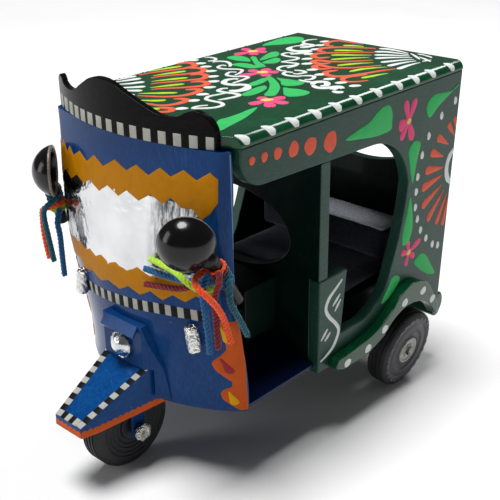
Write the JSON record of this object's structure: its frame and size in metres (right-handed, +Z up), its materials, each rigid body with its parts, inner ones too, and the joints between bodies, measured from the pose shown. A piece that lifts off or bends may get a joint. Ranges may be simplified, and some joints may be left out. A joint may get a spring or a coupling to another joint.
{
  "type": "toy auto rickshaw",
  "caption": "Hand painted toy auto rickshaw: board body with open doorways, bent tin front, single front wheel under a folded mudguard, rolling wheels on wire axles.",
  "frame": {"origin": "centre of the bounding box at the level the wheels stand on", "axes": "-Y to the front of the vehicle, +X to its left side, +Z up"},
  "size_m": [0.1024, 0.1841, 0.1517],
  "materials": {
    "axle_wire": "plain wire",
    "black_gloss": "gloss black",
    "blue_tin": "gloss enamel on bent tin",
    "dark_stick": "dark stained",
    "felt": "grey felt edge",
    "foil": "bright crinkled foil",
    "green_paint": "gloss enamel brushed on board",
    "hub_plastic": "light grey, matt",
    "seat_cloth": "dark plush",
    "tyre": "moulded rubber",
    "yarn_blue": "twisted acrylic yarn",
    "yarn_lime": "twisted acrylic yarn",
    "yarn_maroon": "twisted acrylic yarn",
    "yarn_orange": "twisted acrylic yarn",
    "yarn_teal": "twisted acrylic yarn"
  },
  "bodies": {
    "body": {"backrest_strip": "felt", "crest_board": "black_gloss", "driver_seat": "green_paint", "fender_left": "green_paint", "fender_right": "green_paint", "front_axle": "axle_wire", "front_axle_nubs": "foil", "front_floor": "blue_tin", "front_fork": "blue_tin", "front_header": "green_paint", "front_shell": "blue_tin", "headlight": "foil", "headlight_visor": "blue_tin", "marker_lamps": "foil", "mirror_dome_left": "black_gloss", "mirror_dome_right": "black_gloss", "mirror_stalk_left": "dark_stick", "mirror_stalk_right": "dark_stick", "mudguard": "blue_tin", "nose_fairing": "blue_tin", "partition_board": "green_paint", "passenger_backrest": "seat_cloth", "passenger_seat_base": "green_paint", "passenger_seat_cushion": "seat_cloth", "rear_axle": "axle_wire", "rear_axle_brackets": "axle_wire", "rear_bumper": "green_paint", "rear_floor": "green_paint", "rear_panel": "green_paint", "roof_board": "green_paint", "side_panel_left": "green_paint", "side_panel_right": "green_paint", "tassel_tie_left": "yarn_teal", "tassel_tie_right": "yarn_teal", "windscreen_foil": "foil", "yarn_left_blue_hang": "yarn_blue", "yarn_left_blue_tail": "yarn_blue", "yarn_left_lime": "yarn_lime", "yarn_left_maroon_hang": "yarn_maroon", "yarn_left_maroon_tail": "yarn_maroon", "yarn_left_orange": "yarn_orange", "yarn_left_teal": "yarn_teal", "yarn_right_blue": "yarn_blue", "yarn_right_orange": "yarn_orange", "yarn_right_teal": "yarn_teal"},
    "front_wheel": {"front_tyre": "tyre", "front_hub": "hub_plastic"},
    "rear_left_wheel": {"rear_left_tyre": "tyre", "rear_left_hub": "hub_plastic"},
    "rear_right_wheel": {"rear_right_tyre": "tyre", "rear_right_hub": "hub_plastic"}
  },
  "joints": [
    {"name": "front_wheel_spin", "type": "hinge", "parent": "body", "child": "front_wheel", "pos_m": [0, -0.06484, 0.0186], "axis": [1, 0, 0], "continuous": true},
    {"name": "rear_left_wheel_spin", "type": "hinge", "parent": "body", "child": "rear_left_wheel", "pos_m": [0.04405, 0.05903, 0.01872], "axis": [0.9903, 0.0049, -0.1391], "continuous": true},
    {"name": "rear_right_wheel_spin", "type": "hinge", "parent": "body", "child": "rear_right_wheel", "pos_m": [-0.04405, 0.05903, 0.01872], "axis": [0.9903, -0.0049, 0.1391], "continuous": true}
  ]
}
